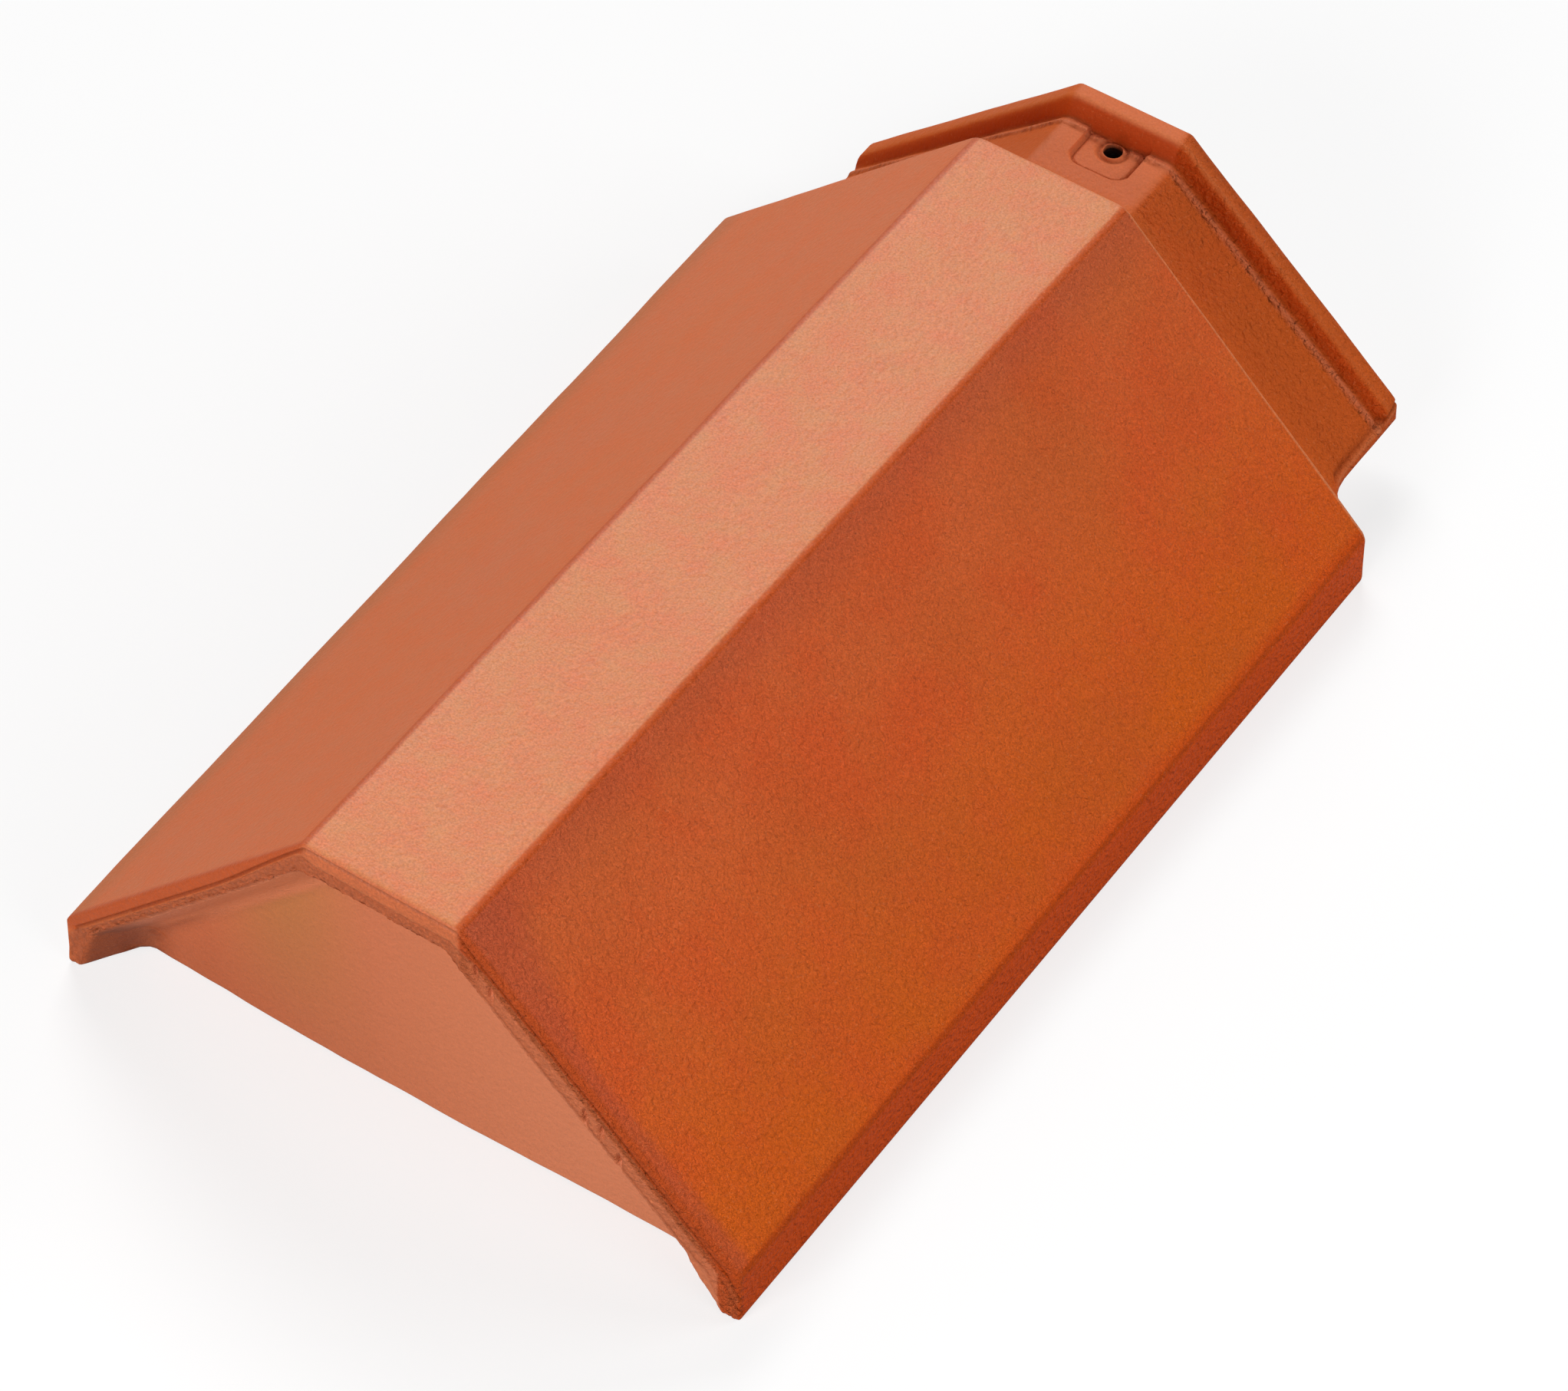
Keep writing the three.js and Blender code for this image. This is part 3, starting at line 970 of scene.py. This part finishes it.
def dimple(co):
    """The ring round the hole."""
    if not on_lap_top(co):
        return 0
    return peak(DIMPLE_RADIUS, 1.4 * MM, math.hypot(co.x, co.y - HOLE_Y))


# %% Press the seat and the ring
press("seat", -SEAT_DEPTH, "Z", seat)
press("seat_line", -0.6 * MM, "Z", seat_line)
press("dimple", -DIMPLE_DEPTH, "Z", dimple)

# %% Drill the screw hole
HOLE_SIDES = 48
bpy.ops.object.select_all(action="DESELECT")
bpy.ops.mesh.primitive_cylinder_add(vertices=HOLE_SIDES, radius=HOLE_RADIUS, depth=LAP_WALL * 2,
                                    location=(0, HOLE_Y, LAP_TOP - LAP_WALL / 2))
drill = bpy.context.object
bpy.context.view_layer.objects.active = tile
hole = tile.modifiers.new("hole", "BOOLEAN")
hole.object = drill
hole.solver = "EXACT"
bpy.ops.object.modifier_apply(modifier="hole")
bpy.data.objects.remove(drill)
print("faces with the hole:", len(tile.data.polygons))

# %% [markdown]
# ## Fired clay
# The body is red clay, and the faces that the weather meets carry a thin engobe: coloured liquid
# clay with a slight sheen, mottled where it was thicker or thinner. The front opening shows
# smoother and paler clay, and the cut edge shows it raw. One material slot for each would leave
# hard borders between them. So there is one material, and values painted on the mesh, from 0 to
# 1, tell it where each kind of clay begins, and where shade and highlights are painted on.


# %% Zones of the front opening
def before_wall_back(co):
    """All that lies in front of the closing wall's back."""
    return ramp(WALL_BACK, WALL_FACE + 4 * MM, co.y)


def in_opening(co):
    """The closing wall and the smoothed clay round it, up to the front edge's lip."""
    start = lip(co) - (1.5 + 0.5 * rightness(co)) * MM
    opened = max(0.6 * smoothed_by_hand(co), ramp(0, 1.2 * MM, depth_in(co) - start))
    return before_wall_back(co) * opened


def painted_corner_shade(co):
    """Painted shade in the corner between the left flange and the closing wall."""
    behind_edge = ramp(FRONT + 0.5 * MM, FRONT + 2 * MM, co.y) * before_wall_back(co)
    start = (3 + 3.5 * ramp(14 * MM, 20 * MM, co.z)) * MM
    inside = ramp(start, start + 1 * MM, depth_in(co))
    return behind_edge * inside * ramp(-90 * MM, -106 * MM, co.x)


def on_smear(co):
    """A yellowish smear of slip along the top of the closing wall."""
    along_top = ramp(20 * MM, 21 * MM, inset(co)) * ramp(29 * MM, 25 * MM, inset(co))
    on_left = peak(-48 * MM, 34 * MM, co.x) * ramp(-14 * MM, -26 * MM, co.x)
    return in_opening(co) * along_top * on_left


def painted_light_on_cove(co):
    """Painted light on the cove that a thumb pressed smooth, between the left lip and the closing
    wall.
    """
    return in_opening(co) * ramp(20.6 * MM, 20 * MM, inset(co)) * ramp(-16 * MM, -30 * MM, co.x)


# %% Zones of the outside: top, right and folds
def past_fold(side, co):
    """All that lies to the right of the left (-1) or right (1) fold beside the ridge."""
    fold = ridge_fold(side, co.y)[0]
    return ramp(fold - 1 * MM, fold + 1 * MM, co.x)


def on_right(co):
    return past_fold(1, co)


def on_top(co):
    return past_fold(-1, co) * (1 - on_right(co))


def on_flange(co):
    """The right flange, below its fold, and the lap's side below its own, a little higher up."""
    fold = FLANGE_HEIGHT + 2 * MM * (co.y > SHOULDER)
    return on_right(co) * ramp(1 * MM, -1 * MM, co.z - fold)


def on_fold(co):
    """The two folds along the ridge, and the one above the right flange."""
    if co.y > SHOULDER:
        return 0
    folds = [ridge_fold(-1, co.y), ridge_fold(1, co.y), (WIDTH / 2, FLANGE_HEIGHT - 1 * MM)]
    return ramp(2 * MM, 1 * MM, min(math.hypot(co.x - x, co.z - z) for x, z in folds))


def on_front_band(co):
    """The rounded outer edge of the front, out to the torn clay, but for the left flange."""
    reach = flash(co) if co.z < 40 * MM else torn(co)
    band = on_front(co) * ramp(0.4 * MM, -0.4 * MM, depth_in(co) - reach)
    band *= 1 - on_top(co) * ramp(0.3 * MM, 1 * MM, co.y - FRONT)
    return band * (ramp(14 * MM, 19 * MM, co.z) if co.x < 0 else 1)


def on_pink(co):
    """A pinkish bloom behind the right panel's front edge, wider towards the ridge."""
    reach = (9 + 18 * ramp(70 * MM, 108 * MM, co.z)) * MM
    return on_right(co) * ramp(reach, reach * 0.5, co.y - FRONT)


# %% Zones of the outside: the head
def on_head(co):
    return ramp(SHOULDER + 1 * MM, SHOULDER + 6 * MM, co.y)


def shade_behind_shoulder(co):
    """Painted shade on the lap's first part behind the shoulder on the top, in the valley below it.
    """
    before_seat = ramp(SHOULDER + 20.5 * MM, SHOULDER + 16 * MM, co.y)
    return on_head(co) * before_seat * ramp(46 * MM, 26 * MM, abs(co.x))


def on_rim(co):
    """The rim's outside, more so in the middle."""
    if co.z < LAP_FOLD or inset(co) > 24 * MM:
        return 0
    return ramp(RIM_FOOT, RIM_TOP, co.y) * (1 - 0.6 * ramp(30 * MM, 90 * MM, abs(co.x)))


def on_rim_end(co):
    return on_rim(co) * ramp(RIM_TOP + 2 * MM, RIM_TOP + 4 * MM, co.y)


def on_rim_face_shade(co):
    """Painted shade on the steep inner face of the rim, which faces the body across the lap."""
    if inset(co) > 30 * MM or co.z < LAP_FOLD:
        return 0
    before_top = ramp(RIM_TOP + 0.4 * MM, RIM_TOP - 0.4 * MM, co.y)
    return ramp(RIM_FOOT - 0.8 * MM, RIM_FOOT, co.y) * before_top


def shade_in_hole(co):
    """Painted shade in the bore below its rounded mouth, with a hair's breadth to spare."""
    return co.z < LAP_TOP - 5 * MM and math.hypot(co.x, co.y - HOLE_Y) < HOLE_RADIUS * 1.01


# %% Zones of lines, thin engobe with painted highlights, and grain
def on_lines(co):
    """Where dirt and shadow gather: the flash line, cracks, the seat's outline and the seams."""
    cove_line = peak(20.4 * MM, 0.7 * MM, inset(co)) * on_wall(co) * ramp(-20 * MM, -34 * MM, co.x)
    right_lip = peak(lip(co) - 1.9 * MM, 0.9 * MM, depth_in(co)) * on_front(co) * rightness(co)
    right_lip *= ramp(12 * MM, 20 * MM, co.z)
    faint = max(right_lip, rim_line(co, 0.3 * MM, 1 * MM), seat_line(co), dimple(co))
    return max(on_flash(co), crack(co), lap_line(co), 0.5 * faint, 0.4 * cove_line)


def on_highlight_and_thin_engobe(co):
    """Where the engobe ran thin, with painted highlights: the shoulder's right edge, the rim's top
    and the lap's foot.
    """
    shoulder_edge = ramp(1.1 * MM, 0.6 * MM, abs(co.y - SHOULDER + 0.1 * MM)) * on_right(co)
    rim_edge = peak(RIM_TOP + 1.2 * MM, 1.2 * MM, co.y) * on_rim(co)
    lap_foot = lap_line(co, 1.4 * MM)
    return max(shoulder_edge * (inset(co) < 4 * MM), 0.35 * rim_edge, 0.6 * lap_foot)


def on_torn(co):
    """The torn clay, fainter towards the right flange's tip."""
    return raw_clay(co) * (1 - 0.5 * ramp(104 * MM, 114 * MM, co.x))


def speckled(co):
    """How much the grain of the surface shows: most of all on the engobed top and right."""
    outside = max(0.34 * on_top(co), 0.28 * on_right(co), 0.16)
    outside *= 1 - 0.6 * on_head(co)
    return outside + (0.1 - outside) * in_opening(co)


# %% Paint the zones on the mesh
ZONES = {
    "top": on_top,
    "right": lambda co: on_right(co) * (1 - in_opening(co)),
    "tan_edge": lambda co: ramp(-108 * MM, -117 * MM, co.x) * ramp(18 * MM, 24 * MM, co.z),
    "pink": on_pink,
    "flange": on_flange,
    "rim": on_rim_end,
    "head": on_head,
    "valley_shade": shade_behind_shoulder,
    "fold": on_fold,
    "band": on_front_band,
    "rim_face_shade": on_rim_face_shade,
    "burr": lambda co: rim_line(co, 2.6 * MM, 2.4 * MM),
    "highlight_and_thin_engobe": on_highlight_and_thin_engobe,
    "opening": in_opening,
    "cove": painted_light_on_cove,
    "smear": on_smear,
    "shaded": painted_corner_shade,
    "torn": on_torn,
    "lines": on_lines,
    "hole": shade_in_hole,
    "speckled": speckled,
}
for name, weight in ZONES.items():
    layer = tile.data.attributes.new(name, "FLOAT", "POINT")
    layer.data.foreach_set("value", [float(weight(vertex.co)) for vertex in tile.data.vertices])
print("painted", len(ZONES), "zones on", len(tile.data.vertices), "vertices")

# %% [markdown]
# ## The patterns in the clay
#
# Engobed clay is never one colour. The kiln's fire leaves large clouds, the dip leaves blots, and
# the body has grog and sand in it. An image could hold all that, but only for one tile, so noise
# makes it instead. Each pattern starts from a real size in millimetres and reads Object
# coordinates, so it stays in the clay wherever the tile goes.

# %% The fired clay: the zones it reads
clay = bpy.data.materials.new("engobed_fired_clay")
clay.use_nodes = True
tree = clay.node_tree
place = add_node(tree, "ShaderNodeTexCoord").outputs["Object"]
share_of = {}
for name in ZONES:
    share_of[name] = add_node(tree, "ShaderNodeAttribute", attribute_name=name).outputs["Fac"]

# %% The fired clay: its patterns
NOISE_ROUGHNESS = 0.6
PATTERNS = {
    # name: its size, its detail, and the part of the noise that is spread to run from 0 to 1
    "drifts": (60 * MM, 1, 0.35, 0.65),     # slow changes in how thick the engobe lies
    "clouds": (38 * MM, 5, 0.42, 0.62),     # patches where the kiln's fire reached it
    "mottle": (9 * MM, 5, 0.35, 0.65),      # blots of the dipped coat
    "crumbs": (1.6 * MM, 4, 0.35, 0.65),    # torn clay
    "peel": (2 * MM, 3, 0.30, 0.70),        # the skin left by pressing
    "grain": (0.7 * MM, 2, 0.32, 0.68),     # grog and sand, drawn coarser than real so as to show
    "specks": (0.9 * MM, 0, 0.72, 0.80),    # lone pale grains, drawn coarser too
}
for name, (size, detail, least, most) in PATTERNS.items():
    noise = add_node(tree, "ShaderNodeTexNoise", links=[("Vector", place)],
                     values=[("Scale", 1 / size), ("Detail", detail),
                             ("Roughness", NOISE_ROUGHNESS)])
    spread = add_node(tree, "ShaderNodeMapRange", links=[("Value", noise.outputs["Fac"])],
                      values=[("From Min", least), ("From Max", most)])
    share_of[name] = spread.outputs["Result"]

# %% The fired clay: changes that run evenly along one axis, between two places
SLOPES = {
    "high_up": ("Z", 30 * MM, 100 * MM),
    "near_ridge": ("Z", 99 * MM, 108 * MM),
    "rightwards": ("X", -80 * MM, 60 * MM),
}
axes = add_node(tree, "ShaderNodeSeparateXYZ", links=[(0, place)])
for name, (axis, start, stop) in SLOPES.items():
    slope = add_node(tree, "ShaderNodeMapRange", links=[("Value", axes.outputs[axis])],
                     values=[("From Min", start), ("From Max", stop)])
    share_of[name] = slope.outputs["Result"]

# %% [markdown]
# ## The colours of the clay
#
# The colours are laid one over the other, as a maker would dip, splash and fire them: first the
# whole tile, then its faces, then its edges and marks. Among them are painted shade, painted
# highlights and painted sheen, where the light on the clay is drawn into its colour. A ramp could
# hold them all, but then each would depend on its neighbours. As layers, each one says in one line
# what it is, how strong it is and where it lies.


# %% The fired clay: a helper for colours
def colour(code):
    """Turns an sRGB hex colour into the linear colour that shaders use."""
    channels = [int(code[i:i + 2], 16) / 255 for i in (0, 2, 4)]
    return [*(c / 12.92 if c <= 0.04045 else ((c + 0.055) / 1.055) ** 2.4 for c in channels), 1]


# %% The fired clay: its colours, laid one over the other
BODY_COLOUR = "D46831"
LAYERS = (
    # colour, how much of it, and the one or two things that say where it lies
    ("CE7040", 0.6, "mottle"),
    ("B06838", 0.5, "tan_edge"),
    # The top is paler, partly from its engobe and partly as painted sheen.
    ("D0744A", 1.0, "top"),
    ("C68854", 0.5, "top", "mottle"),
    ("D45C12", 1.0, "right"),
    ("D46232", 1.0, "right", "high_up"),
    ("D65022", 0.5, "right", "clouds"),
    ("BA5C26", 0.3, "right", "drifts"),
    ("B45238", 0.4, "right", "near_ridge"),
    ("B44E34", 0.5, "pink"),
    ("D44C0E", 0.9, "flange"),
    ("C6581E", 0.7, "head"),
    ("D07048", 0.7, "head", "top"),
    # Painted shade in the valley behind the shoulder.
    ("C4602A", 0.6, "valley_shade"),
    ("A04214", 0.5, "right", "rim"),
    ("B44608", 0.75, "fold"),
    ("B84A1A", 0.75, "band"),
    ("CC6E42", 0.65, "band", "top"),
    # Painted shade on the rim's inner face.
    ("C0460F", 0.8, "rim_face_shade"),
    # A painted highlight along the burr at the rim's foot.
    ("D07450", 0.6, "burr"),
    # A painted highlight on edges, over paler clay where the engobe ran thin.
    ("DC8656", 0.7, "highlight_and_thin_engobe"),
    ("C86A42", 1.0, "opening"),
    # Painted light: the opening grows paler towards the right, where more light reaches it.
    ("E0865E", 1.0, "opening", "rightwards"),
    # Painted light on the cove.
    ("E88A5C", 0.5, "cove"),
    ("B8783E", 0.6, "smear"),
    # Painted shade in the left corner of the opening.
    ("7A3416", 0.8, "shaded"),
    ("BC6038", 1.0, "torn"),
    ("70300F", 0.4, "torn", "crumbs"),
    ("D88050", 0.25, "specks"),
    ("82340C", 0.75, "lines"),
    # Painted shade, near black, down the screw hole.
    ("281008", 5.0, "hole"),
)
ground = add_node(tree, "ShaderNodeRGB")
ground.outputs[0].default_value = colour(BODY_COLOUR)
base = ground.outputs[0]
for code, strength, *where in LAYERS:
    share = share_of[where[0]]
    if len(where) > 1:
        overlap = add_node(tree, "ShaderNodeMath", operation="MULTIPLY",
                           links=[(0, share), (1, share_of[where[1]])])
        share = overlap.outputs[0]
    amount = add_node(tree, "ShaderNodeMath", operation="MULTIPLY", links=[(0, share)],
                      values=[(1, strength)])
    laid = add_node(tree, "ShaderNodeMix", data_type="RGBA", values=[(7, colour(code))],
                    links=[(0, amount.outputs[0]), (6, base)])
    base = laid.outputs[2]
print("laid", len(LAYERS), "colours")

# %% The fired clay: its grain, as lighter and darker specks in every colour
GRAIN_MEAN = 0.5
uneven = add_node(tree, "ShaderNodeMath", operation="SUBTRACT", links=[(0, share_of["grain"])],
                  values=[(1, GRAIN_MEAN)])
shift = add_node(tree, "ShaderNodeMath", operation="MULTIPLY_ADD", values=[(2, 1)],
                 links=[(0, uneven.outputs[0]), (1, share_of["speckled"])])
grained = add_node(tree, "ShaderNodeVectorMath", operation="SCALE",
                   links=[("Vector", base), ("Scale", shift.outputs[0])])

# %% [markdown]
# ## The skin of the clay
#
# Pressed clay has a skin like an orange's, rougher on the right panel, and grains stand out of it.
# They are a fraction of a millimetre high, so they are bump and not mesh. The engobe's sheen is a
# thin coat over dull clay, and it dried matt on the right panel and the head, so the coat's weight
# follows the zones while the clay below it stays dull all over.

# %% The fired clay: its bumps
PEEL_DEPTHS, GRAIN_DEPTH, STROKE_DEPTH = (0.15 * MM, 1.2 * MM), 0.06 * MM, 1.4 * MM
peel_depth = add_node(tree, "ShaderNodeMapRange", links=[("Value", share_of["right"])],
                      values=[("To Min", PEEL_DEPTHS[0]), ("To Max", PEEL_DEPTHS[1])])
peel_bump = add_node(tree, "ShaderNodeBump", values=[("Strength", 1)],
                     links=[("Height", share_of["peel"]), ("Distance", peel_depth.outputs[0])])
grain_bump = add_node(tree, "ShaderNodeBump", values=[("Strength", 0.5), ("Distance", GRAIN_DEPTH)],
                      links=[("Height", share_of["grain"]), ("Normal", peel_bump.outputs[0])])

# %% The fired clay: a comb's strokes across the burr
# The noise is drawn out tenfold along the tile, so only the strokes' width repeats.
STROKE_WIDTH, DRAWN_OUT = 1.2 * MM, (1, 0.1, 1)
stretched = add_node(tree, "ShaderNodeVectorMath", operation="MULTIPLY", links=[(0, place)],
                     values=[(1, DRAWN_OUT)])
strokes = add_node(tree, "ShaderNodeTexNoise", links=[("Vector", stretched.outputs[0])],
                   values=[("Scale", 1 / STROKE_WIDTH), ("Detail", 0)])
on_burr = add_node(tree, "ShaderNodeMath", operation="MULTIPLY",
                   links=[(0, strokes.outputs["Fac"]), (1, share_of["burr"])])
burr_bump = add_node(tree, "ShaderNodeBump", values=[("Strength", 1), ("Distance", STROKE_DEPTH)],
                     links=[("Height", on_burr.outputs[0]), ("Normal", grain_bump.outputs[0])])

# %% The fired clay: its sheen
CLAY_SHINE, ENGOBE_COAT, COAT_ROUGHNESS = 0.07, 0.42, 0.47
ROUGHNESS_THICK, ROUGHNESS_THIN = 0.42, 0.52
roughness = add_node(tree, "ShaderNodeMapRange", links=[("Value", share_of["drifts"])],
                     values=[("To Min", ROUGHNESS_THICK), ("To Max", ROUGHNESS_THIN)])
matt = add_node(tree, "ShaderNodeMath", operation="MAXIMUM",
                links=[(0, share_of["right"]), (1, share_of["head"])])
coat = add_node(tree, "ShaderNodeMapRange", links=[("Value", matt.outputs[0])],
                values=[("To Min", ENGOBE_COAT), ("To Max", 0)])

# %% The fired clay: its shader
shader = tree.nodes["Principled BSDF"]
shader.inputs["Specular IOR Level"].default_value = CLAY_SHINE
shader.inputs["Coat Roughness"].default_value = COAT_ROUGHNESS
SOCKETS = {
    "Base Color": grained, "Roughness": roughness, "Coat Weight": coat,
    "Normal": burr_bump, "Coat Normal": burr_bump,
}
for name, node in SOCKETS.items():
    tree.links.new(node.outputs[0], shader.inputs[name])
tile.data.materials.clear()
tile.data.materials.append(clay)
print("clay:", len(tree.nodes), "nodes")

# %% [markdown]
# ## Hand over
#
# The tile is one rigid piece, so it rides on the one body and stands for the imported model's solid.
# Its faces are shaded smooth up to 50 degrees, so that rounded edges look round and the rim's and
# the hole's sharp ones stay crisp. An Edge Split modifier would do that too, but it cuts the mesh
# open.

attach(tile, "root")
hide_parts("ridge_end_tile")

# %% Shade it
SMOOTH_ANGLE = math.radians(50)
bpy.ops.object.select_all(action="DESELECT")
tile.select_set(True)
bpy.context.view_layer.objects.active = tile
bpy.ops.object.shade_smooth_by_angle(angle=SMOOTH_ANGLE)
